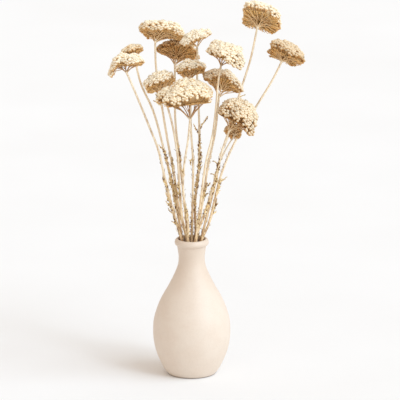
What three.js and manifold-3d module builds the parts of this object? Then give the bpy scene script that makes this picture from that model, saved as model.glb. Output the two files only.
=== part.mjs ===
// Preserved yarrow standing in a bottle vase. Millimetres, +Z up.
// The origin is the centre of the vase's flat base, and -Y is the front.
import * as THREE from "three";
import { mergeVertices } from "three/addons/utils/BufferGeometryUtils.js";
import Module from "manifold-3d";

const wasm = await Module();
wasm.setup();

// Vase: a round belly, a narrow neck and a rolled lip.
const VASE_HEIGHT = 200;
const VASE_SIDES = 32;
const BASE_RADIUS = 33;
const BELLY_RADIUS = 55.6;
const BELLY_HEIGHT = 64;
const NECK_RADIUS = 18.7;
const NECK_HEIGHT = 171;
const LIP_RADIUS = 24.5;
const WALL = 4.2;
const FLOOR = 6;

// Stems: one at each slot of two rings in the neck, spread and turned on the way down to the floor.
const STEM_RADIUS = 1.8;
const STEM_SIDES = 5;
const TOP_SHARE = 0.78;
const SPRIG_RADIUS = 1.2;
const OUTER_RING = 11.3;
const INNER_RING = 5.6;
const MOUTH_SPREAD = 1.3;
const FOOT_SPREAD = 2.3;
const FOOT_TURN = 70;
const FOOT_CLEARANCE = 0.6;
const GAP = 0.3;

// Rays: the branches that fan out from the top of a stem and carry its head, each with a thinner twig.
const RAY_RADIUS = 1.0;
const TWIG_RADIUS = 0.65;
const RAY_TAPER = 0.8;
const RAY_REACH = 0.62;
const TWIG_REACH = 0.27;
const TWIG_FORK = 0.55;
const TWIG_LIMIT = 0.82;
const RAY_SINK = 3;

// Heads: a domed cap covered by florets that stand close together, with a drooping rim.
const FLORET_STEP = 5.6;
const FLORET_RISE = 3.2;
const FLORET_JITTER = 0.22;
const HUB_RING = 0.6;
const RIM_SHARE = 0.93;
const RIM_DEPTH = 6;
const CONE_SHARE = 0.4;

// Leaves: thin ribs with leaflets cut down to them.
const LEAF_THICKNESS = 0.7;
const RIB_WIDTH = 1.3;

const CERAMIC = { color: 0xead9c6, roughness: 0.82, metalness: 0 };
const STRAW = { color: 0xc4a070, roughness: 0.85, metalness: 0 };
const CREAM = { color: 0xf3dcae, roughness: 0.9, metalness: 0 };

const group = new THREE.Group();

function addMesh(name, geometry, look) {
  const mesh = new THREE.Mesh(geometry, new THREE.MeshStandardMaterial(look));
  mesh.name = name;
  group.add(mesh);
}

function solidOf(geometry) {
  const bare = geometry.clone();
  bare.deleteAttribute("normal");
  bare.deleteAttribute("uv");
  const merged = mergeVertices(bare, 1e-4);
  return new wasm.Manifold(new wasm.Mesh({
    numProp: 3,
    vertProperties: new Float32Array(merged.attributes.position.array),
    triVerts: new Uint32Array(merged.index.array),
  }));
}

function geometryOf(solid) {
  const mesh = solid.getMesh();
  const geometry = new THREE.BufferGeometry();
  geometry.setAttribute("position", new THREE.BufferAttribute(mesh.vertProperties, 3));
  geometry.setIndex(new THREE.BufferAttribute(mesh.triVerts, 1));
  geometry.computeVertexNormals();
  return geometry;
}

function joined(solids) {
  return solids.reduce((sum, solid) => sum.add(solid));
}

// A seeded draw between 0 and 1.
function draws(seed) {
  let state = seed * 7919 + 17;
  return () => {
    state = (state * 1664525 + 1013904223) % 4294967296;
    return state / 4294967296;
  };
}

const vector = ([x, y, z]) => new THREE.Vector3(x, y, z);
const radians = THREE.MathUtils.degToRad;
const lerp = THREE.MathUtils.lerp;

// The vase

function vaseGeometry() {
  const outside = [
    [BASE_RADIUS, 0],
    [BASE_RADIUS + 1.6, 0.9],
    [44, 16],
    [51, 33],
    [54.8, 50],
    [BELLY_RADIUS, BELLY_HEIGHT],
    [54.6, 79],
    [50.4, 95],
    [43.4, 112],
    [32.8, 131],
    [22.7, 152],
    [NECK_RADIUS + 0.4, 164],
    [NECK_RADIUS, NECK_HEIGHT + 2],
    [21.4, 188.5],
    [LIP_RADIUS - 0.7, 190.8],
    [LIP_RADIUS, 194.5],
    [23, 198.4],
    [20.8, VASE_HEIGHT],
    [18.6, VASE_HEIGHT - 2],
  ];
  const inside = [
    [17, 188],
    [NECK_RADIUS - WALL, NECK_HEIGHT],
    [16, 160],
    [40.6, 108],
    [BELLY_RADIUS - WALL, BELLY_HEIGHT + 4],
    [47, 35],
    [30, FLOOR],
  ];
  const profile = [[0, 0], ...outside, ...inside, [0, FLOOR]];
  const lathe = new THREE.LatheGeometry(profile.map(([r, z]) => new THREE.Vector2(r, z)), VASE_SIDES);
  return lathe.rotateX(Math.PI / 2);
}

// Stems, rays and leaves

// A tapering tube with few sides along a curve.
function limb(curve, radius, endShare, sides, steps) {
  const corners = [];
  for (let i = 0; i < sides; i += 1) {
    const angle = (2 * Math.PI * i) / sides;
    corners.push(new THREE.Vector2(radius * Math.cos(angle), radius * Math.sin(angle)));
  }
  const tube = new THREE.ExtrudeGeometry(new THREE.Shape(corners), { steps, extrudePath: curve });
  const centres = curve.getSpacedPoints(steps);
  const place = tube.attributes.position;
  const point = new THREE.Vector3();
  for (let i = 0; i < place.count; i += 1) {
    point.fromBufferAttribute(place, i);
    const distances = centres.map((centre) => centre.distanceTo(point));
    const ring = distances.indexOf(Math.min(...distances));
    point.sub(centres[ring]).multiplyScalar(lerp(1, endShare, ring / steps)).add(centres[ring]);
    place.setXYZ(i, point.x, point.y, point.z);
  }
  return tube;
}

function slotPlace(slot) {
  const [ring, angle] = slot;
  return [ring * Math.cos(radians(angle)), ring * Math.sin(radians(angle))];
}

// A smooth way through its points, whose tube has one ring at each point.
class Way extends THREE.CatmullRomCurve3 {
  getPointAt(share, target) {
    return this.getPoint(share, target);
  }

  getTangentAt(share, target) {
    return this.getTangent(share, target);
  }
}

// The way of a stem from the vase's floor through the neck and mouth to the fork under its head.
function stemCurve(yarrow) {
  const [ring, angle] = yarrow.slot;
  const [x, y] = slotPlace(yarrow.slot);
  const [footX, footY] = slotPlace([ring * FOOT_SPREAD, angle + FOOT_TURN]);
  const [lowX, lowY] = slotPlace([ring * 1.25, angle + FOOT_TURN * 0.25]);
  const points = [
    [footX, footY, FLOOR + FOOT_CLEARANCE],
    [lowX, lowY, NECK_HEIGHT - 45],
    [x, y, NECK_HEIGHT],
    [x * MOUTH_SPREAD, y * MOUTH_SPREAD, VASE_HEIGHT - 4],
    ...yarrow.way,
    yarrow.fork,
  ];
  return new Way(points.map(vector));
}

// How far along a rising stem a height is reached, halving the stretch that holds it.
function shareAtHeight(curve, height) {
  let [low, high] = [0, 1];
  for (let i = 0; i < 20; i += 1) {
    const middle = (low + high) / 2;
    if (curve.getPoint(middle).z < height) {
      low = middle;
    } else {
      high = middle;
    }
  }
  return low;
}

// A feathery leaf, thin and arched, whose leaflets are cut down to the rib.
// It starts on the stem's axis, leaves at the angle `rise` and curls over by `curl`.
function leaf(curve, { height, turn, rise, curl, length, width, pairs }) {
  const at = shareAtHeight(curve, height);
  const start = curve.getPoint(at);
  const along = curve.getTangent(at);
  const side = new THREE.Vector3(-Math.sin(radians(turn)), Math.cos(radians(turn)), 0);
  side.addScaledVector(along, -side.dot(along)).normalize();
  const out = new THREE.Vector3().crossVectors(side, along);

  const stations = [];
  const centre = start.clone();
  const step = length / (2 * pairs);
  for (let i = 0; i <= 2 * pairs; i += 1) {
    const lift = radians(rise - (curl * i) / (2 * pairs));
    const ahead = out.clone().multiplyScalar(Math.cos(lift)).addScaledVector(along, Math.sin(lift));
    const normal = new THREE.Vector3().crossVectors(side, ahead);
    stations.push({ centre: centre.clone(), ahead, normal });
    centre.addScaledVector(ahead, step);
  }

  const corners = [];
  const put = (station, across, forward) => {
    const middle = station.centre.clone().addScaledVector(side, across);
    middle.addScaledVector(station.ahead, forward);
    for (const face of [-0.5, 0.5]) {
      corners.push(middle.clone().addScaledVector(station.normal, face * LEAF_THICKNESS));
    }
    return corners.length / 2 - 1;
  };
  const faces = [];
  const lidded = (a, b, c) => {
    faces.push([2 * a + 1, 2 * b + 1, 2 * c + 1], [2 * a, 2 * c, 2 * b]);
  };
  const wall = (a, b) => {
    faces.push([2 * a, 2 * b, 2 * b + 1], [2 * a, 2 * b + 1, 2 * a + 1]);
  };

  let left = put(stations[0], -RIB_WIDTH / 2, 0);
  let right = put(stations[0], RIB_WIDTH / 2, 0);
  wall(left, right);
  for (let pair = 0; pair < pairs; pair += 1) {
    const share = (pair + 0.6) / pairs;
    const reach = (width / 2) * Math.sin(Math.PI * (0.18 + 0.74 * share));
    const tip = stations[2 * pair + 1];
    const next = stations[2 * pair + 2];
    const half = (RIB_WIDTH / 2) * lerp(1, 0.45, share);
    const leftTip = put(tip, -reach, step * 1.1);
    const rightTip = put(tip, reach, step * 1.1);
    const nextLeft = put(next, -half, 0);
    const nextRight = put(next, half, 0);
    lidded(left, right, nextRight);
    lidded(left, nextRight, nextLeft);
    lidded(leftTip, left, nextLeft);
    lidded(right, rightTip, nextRight);
    wall(leftTip, left);
    wall(nextLeft, leftTip);
    wall(right, rightTip);
    wall(rightTip, nextRight);
    left = nextLeft;
    right = nextRight;
  }
  wall(right, left);

  const geometry = new THREE.BufferGeometry().setFromPoints(corners);
  geometry.setIndex(faces.flat());
  return geometry;
}

// Heads

// The frame of a head: its centre, and its axis leaning away from the vertical.
function headFrame({ centre, lean, heading }) {
  const tilt = new THREE.Vector3(-Math.sin(radians(heading)), Math.cos(radians(heading)), 0);
  const turn = new THREE.Matrix4().makeRotationAxis(tilt, radians(lean));
  return new THREE.Matrix4().makeTranslation(...centre).multiply(turn);
}

// Half the section of a head from the top of its dome over the shoulder to the edge of the underside.
function headSection(radius, dome) {
  return new THREE.SplineCurve([
    new THREE.Vector2(0, dome),
    new THREE.Vector2(radius * 0.35, dome * 0.93),
    new THREE.Vector2(radius * 0.7, dome * 0.66),
    new THREE.Vector2(radius * 0.92, dome * 0.3),
    new THREE.Vector2(radius, -RIM_DEPTH * 0.4),
    new THREE.Vector2(radius * RIM_SHARE, -RIM_DEPTH),
  ]);
}

// How near an angle is to the middle of a lobe: 1 there, and falling off over the lobe's width.
function nearness(angle, middle, width) {
  const away = angle - radians(middle);
  return Math.exp(-((Math.atan2(Math.sin(away), Math.cos(away)) / radians(width)) ** 2));
}

// The outline of a head, as a share of its mean radius, and how far its skin is lifted or hangs.
// Each lobe is its middle angle, its width, how much farther it reaches and how far it hangs at the rim.
function lobed(head) {
  const random = draws(head.seed);
  const shifts = [random(), random(), random(), random()].map((value) => value * 2 * Math.PI);
  const lobes = head.lobes ?? [];
  return {
    outline: (angle) => lobes.reduce(
      (share, [middle, width, reach]) => share * (1 + reach * nearness(angle, middle, width)),
      1 + 0.07 * Math.sin(2 * angle + shifts[0]) + 0.05 * Math.sin(5 * angle + shifts[1])
        + 0.035 * Math.sin(7 * angle + shifts[2]),
    ),
    lift: (angle, share) => lobes.reduce(
      (height, [middle, width, , hang]) => height - hang * nearness(angle, middle, width) * share ** 4,
      head.wave * Math.sin(3 * angle + shifts[3]) * share ** 2,
    ),
  };
}

// Rings of points on a triangular net: every third point is the tip of a floret, ringed by six low points.
// The underside is a cone from the rim, over a ring of corners, to a tip between the rim and the fork.
function headGeometry(head, fork) {
  const random = draws(head.seed + 100);
  const { outline, lift } = lobed(head);
  const mean = (head.width + head.depth) / 4;
  const section = headSection(mean, head.dome);
  const rings = Math.round(section.getLength() / FLORET_STEP);

  const place = (radius, height, angle) => new THREE.Vector3(
    (radius / mean) * outline(angle) * Math.cos(angle) * (head.width / 2),
    (radius / mean) * outline(angle) * Math.sin(angle) * (head.depth / 2),
    height + lift(angle, radius / mean),
  );
  const skin = (share, angle) => {
    const { x, y } = section.getPointAt(THREE.MathUtils.clamp(share, 0, 1));
    return place(x, y, angle);
  };
  const raised = (share, angle, rise) => {
    const outward = skin(share + 0.01, angle).sub(skin(share - 0.01, angle));
    const around = skin(share, angle + 0.01).sub(skin(share, angle - 0.01));
    return skin(share, angle).addScaledVector(outward.cross(around).normalize(), rise);
  };

  const points = [new THREE.Vector3(0, 0, head.dome + FLORET_RISE * 0.5)];
  const faces = [];
  const steps = [[1, 0], [0, 1], [-1, 1], [-1, 0], [0, -1], [1, -1]];
  let inner = [0];
  for (let ring = 1; ring <= rings; ring += 1) {
    const outer = [];
    for (let side = 0; side < 6; side += 1) {
      for (let along = 0; along < ring; along += 1) {
        const [q, r] = [0, 1].map((axis) => ring * steps[side][axis] + along * steps[(side + 2) % 6][axis]);
        const isTip = (((q - r) % 3) + 3) % 3 === 0;
        const rise = isTip ? FLORET_RISE * (0.35 + 0.4 * random()) : -FLORET_RISE * (0.3 + 0.2 * random());
        const shift = ring === rings ? 0 : FLORET_JITTER;
        const angle = ((side + along / ring + (random() - 0.5) * shift / ring) * Math.PI) / 3;
        const share = (ring + (random() - 0.5) * shift) / rings;
        outer.push(points.length);
        points.push(raised(share, angle, ring === rings ? rise * 0.5 : rise));
      }
    }
    for (let side = 0; side < 6; side += 1) {
      for (let along = 0; along < ring; along += 1) {
        const out = side * ring + along;
        const low = side * (ring - 1) + along;
        const nextOut = outer[(out + 1) % outer.length];
        faces.push([inner[low % inner.length], outer[out], nextOut]);
        if (along < ring - 1) {
          faces.push([inner[low % inner.length], nextOut, inner[(low + 1) % inner.length]]);
        }
      }
    }
    inner = outer;
  }

  const tip = vector(fork).applyMatrix4(headFrame(head).invert()).multiplyScalar(CONE_SHARE);
  const inward = HUB_RING / RIM_SHARE;
  const hub = [];
  const hubCount = 2 * rings;
  for (let i = 0; i < hubCount; i += 1) {
    const edge = place(mean * HUB_RING, -RIM_DEPTH * inward, (2 * Math.PI * i) / hubCount);
    hub.push(points.length);
    points.push(edge.addScaledVector(tip, 1 - inward));
  }
  const bottom = points.length;
  points.push(tip);
  const perHub = inner.length / hubCount;
  for (let i = 0; i < hubCount; i += 1) {
    const next = hub[(i + 1) % hubCount];
    for (let j = 0; j < perHub; j += 1) {
      const edge = inner[i * perHub + j];
      const edgeNext = inner[(i * perHub + j + 1) % inner.length];
      faces.push([hub[i], edgeNext, edge]);
    }
    faces.push([hub[i], next, inner[((i + 1) * perHub) % inner.length]]);
    faces.push([next, hub[i], bottom]);
  }

  const geometry = new THREE.BufferGeometry().setFromPoints(points);
  geometry.setIndex(faces.flat());
  return geometry.applyMatrix4(headFrame(head));
}

// The point where a ray from `start` through `goal` has to end to stay just clear of the head.
function underHead(cap, start, goal, radius) {
  const direction = goal.clone().sub(start).normalize();
  const hits = new THREE.Raycaster(start, direction).intersectObject(cap, false);
  if (hits.length === 0) {
    return goal;
  }
  const facing = Math.max(0.3, Math.abs(hits[0].face.normal.dot(direction)));
  const backoff = (GAP + radius * Math.sqrt(1 - facing * facing)) / facing;
  return start.clone().addScaledVector(direction, hits[0].distance - backoff);
}

// The rays of a head, long and short in turn, each with a twig that forks from it halfway.
// They start a little below the stem's end, inside the stem.
function rays(head, stem, capGeometry) {
  const random = draws(head.seed + 50);
  const stemEnd = stem.getPoint(1).addScaledVector(stem.getTangent(1), -RAY_SINK);
  const cap = new THREE.Mesh(capGeometry, new THREE.MeshBasicMaterial({ side: THREE.DoubleSide }));
  cap.updateMatrixWorld();
  const frame = headFrame(head);
  const { outline, lift } = lobed(head);
  const aim = (angle, share) => new THREE.Vector3(
    (head.width / 2) * share * outline(angle) * Math.cos(angle),
    (head.depth / 2) * share * outline(angle) * Math.sin(angle),
    lift(angle, share),
  ).applyMatrix4(frame);

  const limbs = [];
  for (let i = 0; i < head.rays; i += 1) {
    const angle = ((i + (random() - 0.5) * 0.35) * 2 * Math.PI) / head.rays;
    const reach = RAY_REACH * (i % 2 === 0 ? 1.05 : 0.8);
    const goal = aim(angle, reach);
    const tip = underHead(cap, stemEnd, goal, RAY_RADIUS);
    limbs.push(limb(new THREE.LineCurve3(stemEnd, tip), RAY_RADIUS, RAY_TAPER, 4, 1));
    const knee = stemEnd.clone().lerp(tip, TWIG_FORK);
    const turn = random() < 0.5 ? -1 : 1;
    const spread = (TWIG_REACH / reach) * turn * (0.9 + 0.4 * random());
    const twigGoal = aim(angle + spread, Math.min(TWIG_LIMIT, reach + 0.15 * random()));
    const end = underHead(cap, knee, twigGoal, TWIG_RADIUS);
    limbs.push(limb(new THREE.LineCurve3(knee, end), TWIG_RADIUS, RAY_TAPER, 3, 1));
  }
  return limbs;
}

// The yarrows, from the left one to the small side head on the right.
// slot: ring and angle in the neck; way: the stem's way above the mouth; fork: where the rays start;
// sprig: a side branch with a head of its own.
const YARROWS = [
  {
    name: "yarrow_01",
    slot: [OUTER_RING, 202.5],
    way: [[-26, -6, 239], [-38, -7, 290], [-48, -8, 334], [-60, -8, 366], [-84, -10, 427]],
    fork: [-93, -18, 450],
    head: {
      centre: [-93, -12, 465], lean: 21, heading: 96, width: 49, depth: 44, dome: 11,
      wave: 1.5, rays: 7, seed: 1,
      lobes: [[185, 38, 0.02, 20]],
    },
    leaves: [
      { height: 206, turn: 230, rise: 86, curl: 2, length: 34, width: 5, pairs: 2 },
      { height: 222, turn: 185, rise: 40, curl: -30, length: 9, width: 3, pairs: 2 },
      { height: 236, turn: 215, rise: 86, curl: 2, length: 36, width: 6, pairs: 2 },
      { height: 238, turn: 185, rise: 34, curl: -50, length: 11, width: 3, pairs: 2 },
      { height: 246, turn: 180, rise: 52, curl: -20, length: 14, width: 3, pairs: 2 },
      { height: 264, turn: 240, rise: 86, curl: 4, length: 32, width: 6, pairs: 2 },
    ],
  },
  {
    name: "yarrow_02",
    slot: [OUTER_RING, 157.5],
    way: [[-22, 9, 245], [-31, 12, 290], [-40, 15, 328], [-55, 20, 383], [-72, 23, 421]],
    fork: [-81, 22, 458],
    head: {
      centre: [-86, 27, 471], lean: 30, heading: 132, width: 34, depth: 28, dome: 8,
      wave: 1, rays: 5, seed: 2,
    },
    leaves: [
      { height: 234, turn: 260, rise: 86, curl: 2, length: 36, width: 6, pairs: 2 },
      { height: 266, turn: 255, rise: 86, curl: 2, length: 36, width: 7, pairs: 3 },
      { height: 298, turn: 265, rise: 86, curl: 4, length: 32, width: 6, pairs: 2 },
      { height: 326, turn: 180, rise: 60, curl: -10, length: 11, width: 3, pairs: 2 },
    ],
  },
  {
    name: "yarrow_03",
    slot: [INNER_RING, 162],
    way: [[-19, 5, 244], [-25, 9, 290], [-35, 21, 342], [-44, 33, 396], [-51, 37, 444]],
    fork: [-52, 32, 483],
    head: {
      centre: [-41, 42, 496], lean: 33, heading: 74, width: 69, depth: 52, dome: 14,
      wave: 2.5, rays: 8, seed: 3,
    },
    leaves: [
      { height: 250, turn: 280, rise: 86, curl: 2, length: 36, width: 6, pairs: 2 },
      { height: 288, turn: 290, rise: 86, curl: 2, length: 30, width: 5, pairs: 2 },
      { height: 388, turn: 180, rise: 50, curl: 30, length: 14, width: 4, pairs: 2 },
    ],
  },
  {
    name: "yarrow_04",
    slot: [OUTER_RING, 112.5],
    way: [[-11, 18, 252], [-17, 24, 310], [-23, 32, 360], [-24, 42, 410]],
    fork: [-24, 44, 447],
    head: {
      centre: [-19, 61, 462], lean: 49, heading: 77, width: 61, depth: 42, dome: 12,
      wave: 2, rays: 8, seed: 4,
      lobes: [[115, 32, -0.2, -3]],
    },
    leaves: [
      { height: 300, turn: 250, rise: 86, curl: 2, length: 34, width: 6, pairs: 2 },
    ],
  },
  {
    name: "yarrow_05",
    slot: [OUTER_RING, 67.5],
    way: [[5, 16, 250], [10, 19, 294], [11, 24, 357], [8, 30, 425], [8, 26, 454]],
    fork: [8, 8, 481],
    head: {
      centre: [4, 13, 494], lean: 31, heading: 142, width: 49, depth: 30, dome: 9,
      wave: 1.5, rays: 6, seed: 5,
    },
    leaves: [
      { height: 228, turn: 270, rise: 86, curl: 2, length: 34, width: 6, pairs: 2 },
      { height: 258, turn: 250, rise: 86, curl: 2, length: 34, width: 7, pairs: 3 },
      { height: 288, turn: 280, rise: 86, curl: 2, length: 34, width: 7, pairs: 3 },
      { height: 314, turn: 260, rise: 86, curl: 2, length: 34, width: 6, pairs: 2 },
      { height: 347, turn: 180, rise: 60, curl: 0, length: 18, width: 4, pairs: 2 },
      { height: 354, turn: 0, rise: 60, curl: 0, length: 24, width: 5, pairs: 3 },
    ],
  },
  {
    name: "yarrow_06",
    slot: [OUTER_RING, 292.5],
    way: [[13, -19, 260], [20, -23, 316], [30, -26, 360], [35, -30, 404], [38, -33, 442]],
    fork: [42, -36, 465],
    head: {
      centre: [49, -38, 485], lean: 15, heading: 339, width: 57, depth: 48, dome: 12,
      wave: 2, rays: 7, seed: 6,
      lobes: [[318, 38, 0.1, 12]],
    },
    leaves: [
      { height: 214, turn: 300, rise: 86, curl: 2, length: 30, width: 5, pairs: 2 },
      { height: 262, turn: 350, rise: 60, curl: 20, length: 16, width: 4, pairs: 2 },
    ],
  },
  {
    name: "yarrow_07",
    slot: [OUTER_RING, 22.5],
    way: [[31, 12, 267], [44, 18, 325], [52, 22, 346], [68, 30, 404], [84, 32, 456]],
    fork: [94, 26, 506],
    head: {
      centre: [98, 36, 514], lean: 47, heading: 81, width: 62, depth: 56, dome: 23,
      wave: 2, rays: 10, seed: 7,
      lobes: [[178, 16, -0.2, 0], [225, 22, 0.22, 0], [95, 28, -0.3, 0], [35, 25, 0.08, 4]],
    },
    leaves: [
      { height: 266, turn: 240, rise: 86, curl: 2, length: 34, width: 6, pairs: 2 },
      { height: 400, turn: 0, rise: 40, curl: 0, length: 16, width: 4, pairs: 2 },
    ],
  },
  {
    name: "yarrow_08",
    slot: [OUTER_RING, 337.5],
    way: [[25, 4, 222], [43, 12, 293], [63, 17, 340], [89, 16, 385], [115, 12, 430]],
    fork: [129, 8, 460],
    head: {
      centre: [135, 13, 467], lean: 35, heading: 59, width: 55, depth: 48, dome: 20,
      wave: 2, rays: 9, seed: 8,
      lobes: [[215, 25, 0.08, -6]],
    },
    leaves: [
      { height: 226, turn: 300, rise: 86, curl: 2, length: 32, width: 5, pairs: 2 },
      { height: 233, turn: 0, rise: 40, curl: -30, length: 9, width: 3, pairs: 2 },
      { height: 243, turn: 350, rise: 40, curl: -40, length: 11, width: 3, pairs: 2 },
      { height: 254, turn: 320, rise: 86, curl: 2, length: 34, width: 6, pairs: 2 },
      { height: 278, turn: 0, rise: 60, curl: 10, length: 15, width: 4, pairs: 2 },
    ],
  },
  {
    name: "yarrow_09",
    slot: [INNER_RING, 234],
    way: [[-13, -3, 228], [-17, 0, 268], [-20, 2, 320], [-27, 3, 364]],
    fork: [-38, -10, 410],
    head: {
      centre: [-46, 3, 430], lean: 41, heading: 126, width: 48, depth: 40, dome: 15,
      wave: 1.5, rays: 7, seed: 9,
    },
    leaves: [
      { height: 250, turn: 250, rise: 86, curl: 2, length: 34, width: 6, pairs: 2 },
    ],
  },
  {
    name: "yarrow_10",
    slot: [INNER_RING, 90],
    way: [[1, 9, 240], [2, 9, 310], [-1, 4, 361]],
    fork: [-2, -3, 436],
    head: {
      centre: [-1, 7, 449], lean: 37, heading: 109, width: 43, depth: 38, dome: 13,
      wave: 1.5, rays: 8, seed: 10,
    },
    leaves: [
      { height: 207, turn: 200, rise: 84, curl: 0, length: 24, width: 5, pairs: 2 },
      { height: 312, turn: 250, rise: 60, curl: 150, length: 18, width: 4, pairs: 3 },
    ],
  },
  {
    name: "yarrow_11",
    slot: [OUTER_RING, 247.5],
    way: [[-5, -17, 221], [-12, -26, 275], [-11, -32, 313], [-5, -39, 355]],
    fork: [-2, -47, 389],
    head: {
      centre: [-9, -46, 421], lean: 1, heading: 90, width: 80, depth: 64, dome: 25,
      wave: 3, rays: 9, seed: 11,
      lobes: [[175, 38, 0.02, 8]],
    },
    leaves: [
      { height: 228, turn: 280, rise: 84, curl: 4, length: 30, width: 6, pairs: 2 },
      { height: 302, turn: 240, rise: 74, curl: 30, length: 12, width: 4, pairs: 2 },
    ],
  },
  {
    name: "yarrow_12",
    slot: [INNER_RING, 18],
    way: [[16, 6, 255], [24, 8, 308], [33, 8, 351]],
    fork: [39, -13, 413],
    head: {
      centre: [44, 0, 433], lean: 41, heading: 59, width: 58, depth: 44, dome: 16,
      wave: 2, rays: 8, seed: 12,
    },
    leaves: [
      { height: 252, turn: 300, rise: 84, curl: 4, length: 30, width: 5, pairs: 2 },
      { height: 268, turn: 10, rise: 66, curl: 0, length: 15, width: 4, pairs: 2 },
    ],
  },
  {
    name: "yarrow_13",
    slot: [INNER_RING, 306],
    way: [[16, -11, 232], [29, -15, 274], [40, -20, 321], [47, -23, 347]],
    fork: [54, -29, 368],
    head: {
      centre: [66, -27, 387], lean: 28, heading: 11, width: 58.5, depth: 54, dome: 27,
      wave: 2, rays: 8, seed: 13,
      lobes: [[345, 30, 0, 12]],
    },
    sprig: {
      name: "yarrow_14",
      way: [[40, -19, 318], [50, -17, 338]],
      fork: [62, -12, 357],
      head: {
        centre: [60, -2, 360], lean: 71, heading: 87, width: 25, depth: 27, dome: 9,
        wave: 1, rays: 7, seed: 14,
      },
    },
    leaves: [
      { height: 232, turn: 290, rise: 86, curl: 2, length: 34, width: 6, pairs: 2 },
      { height: 264, turn: 280, rise: 86, curl: 2, length: 36, width: 7, pairs: 2 },
      { height: 296, turn: 185, rise: 40, curl: 60, length: 9, width: 3, pairs: 2 },
      { height: 296, turn: 270, rise: 86, curl: 2, length: 28, width: 6, pairs: 2 },
      { height: 312, turn: 190, rise: 60, curl: 60, length: 12, width: 3, pairs: 2 },
    ],
  },
];

addMesh("vase", vaseGeometry(), CERAMIC);

for (const yarrow of YARROWS) {
  const curve = stemCurve(yarrow);
  const solids = [solidOf(limb(curve, STEM_RADIUS, TOP_SHARE, STEM_SIDES, curve.points.length - 1))];
  const branches = [{ ...yarrow, stem: curve }];
  if (yarrow.sprig) {
    const stem = new Way([...yarrow.sprig.way, yarrow.sprig.fork].map(vector));
    solids.push(solidOf(limb(stem, SPRIG_RADIUS, TOP_SHARE, STEM_SIDES, stem.points.length - 1)));
    branches.push({ ...yarrow.sprig, stem });
  }
  for (const { name, head, fork, stem } of branches) {
    const cap = headGeometry(head, fork);
    solids.push(...rays(head, stem, cap).map(solidOf));
    addMesh(`${name}_head`, cap, CREAM);
  }
  solids.push(...yarrow.leaves.map((place) => solidOf(leaf(curve, place))));
  addMesh(`${yarrow.name}_stem`, geometryOf(joined(solids)), STRAW);
}

export default group;
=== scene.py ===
"""Dried yarrow in a bottle vase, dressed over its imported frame.

Lengths are millimetres in the tables and shapes, and metres in the looks, the light and the camera.
Meshes are scaled to metres when they are made. The front is the -Y side.
"""
import math
import random

import bmesh
import bpy
import numpy as np
from mathutils import Matrix, Vector, noise


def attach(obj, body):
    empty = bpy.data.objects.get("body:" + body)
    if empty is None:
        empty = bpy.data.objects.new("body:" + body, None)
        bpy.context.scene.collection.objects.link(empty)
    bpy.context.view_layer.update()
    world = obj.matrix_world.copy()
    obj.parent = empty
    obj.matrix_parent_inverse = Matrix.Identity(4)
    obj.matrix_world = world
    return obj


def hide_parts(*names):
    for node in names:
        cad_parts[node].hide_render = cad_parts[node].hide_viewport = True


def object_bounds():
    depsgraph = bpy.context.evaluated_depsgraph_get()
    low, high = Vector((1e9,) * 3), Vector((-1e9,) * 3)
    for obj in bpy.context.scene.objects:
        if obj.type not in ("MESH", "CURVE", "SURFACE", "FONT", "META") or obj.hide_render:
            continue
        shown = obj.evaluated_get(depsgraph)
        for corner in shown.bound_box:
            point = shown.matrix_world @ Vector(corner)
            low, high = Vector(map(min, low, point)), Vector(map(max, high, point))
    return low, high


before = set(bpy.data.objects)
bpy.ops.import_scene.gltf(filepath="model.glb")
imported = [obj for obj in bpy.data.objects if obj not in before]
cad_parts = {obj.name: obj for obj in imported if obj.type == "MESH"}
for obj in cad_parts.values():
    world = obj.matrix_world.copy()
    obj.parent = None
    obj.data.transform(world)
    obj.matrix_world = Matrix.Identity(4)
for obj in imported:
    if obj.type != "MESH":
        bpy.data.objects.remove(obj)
solid_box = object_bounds()

MM = 0.001
# Nothing stands out of the solids' box, less this margin in metres. The base stays on the floor
BOX_MARGIN = np.array([0.0001, 0.0001, 0])
INNER_BOX = np.array(solid_box) + np.array([BOX_MARGIN, -BOX_MARGIN])

# Vase
VASE_HEIGHT = 200
BASE_RADIUS = 33
BELLY_RADIUS = 55.6
BELLY_HEIGHT = 64
NECK_RADIUS = 18.7
NECK_HEIGHT = 171
LIP_RADIUS = 24.5
WALL = 4.2
FLOOR = 6
VASE_SIDES = 96

# Stems. Each stands in one of two rings in the neck, turns and spreads below it, and spreads at the mouth
STEM_RADIUS = 1.8
TOP_SHARE = 0.78
STEM_SIDES = 15
STEM_RIBS = 0.07
RIB_COUNT = 5
LEAF_SWELL = 0.16
SWELL_LENGTH = 3.5
OUTER_RING = 11.3
INNER_RING = 5.6
MOUTH_SPREAD = 1.3
SHOULDER_SPREAD = 1.25
SHOULDER_TURN = 0.25
SHOULDER_DROP = 45
FOOT_SPREAD = 2.3
FOOT_TURN = 70
FOOT_CLEARANCE = 0.6
SPRIG_RADII = (1.25, 1.05)
# The stems brown from this height down to the mouth
BROWN_TO = 330

# Rays and the twigs that leave them, with their radii at both ends
RAY_RADII = (0.85, 0.5)
RAY_STATIONS = 12
RAY_REACH = 0.62
RAY_SINK = 3
TWIG_RADII = (0.6, 0.42)
TWIG_STATIONS = 7
TWIG_LIMIT = 0.92

# Leaves, with radii along the rib, a leaflet and a thread, and the fringe of threads on the lower stems
RIB_RADII = (0.9, 0.35)
RIB_STATIONS = 25
LEAFLET_RADII = (0.5, 0.6, 0.62, 0.55, 0.42, 0.15)
LEAFLETS_PER_MM = 1.5
THREAD_RADII = (0.3, 0.26, 0.1)
DARK_SHARE = 0.11
# How far a leaf's tip wobbles and how fast. Without a seed, Blender's noise vectors start from the clock
WOBBLE = 1.8
WOBBLE_RATE = 0.11
WOBBLE_SEED = 1
FRINGE_COUNT = 50
FRINGE_FROM = 200
FRINGE_TO = 330
FRINGE_REACH = 2.6
FRINGE_RADII = (0.45, 0.2)
FRINGE_STATIONS = 5

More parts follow.
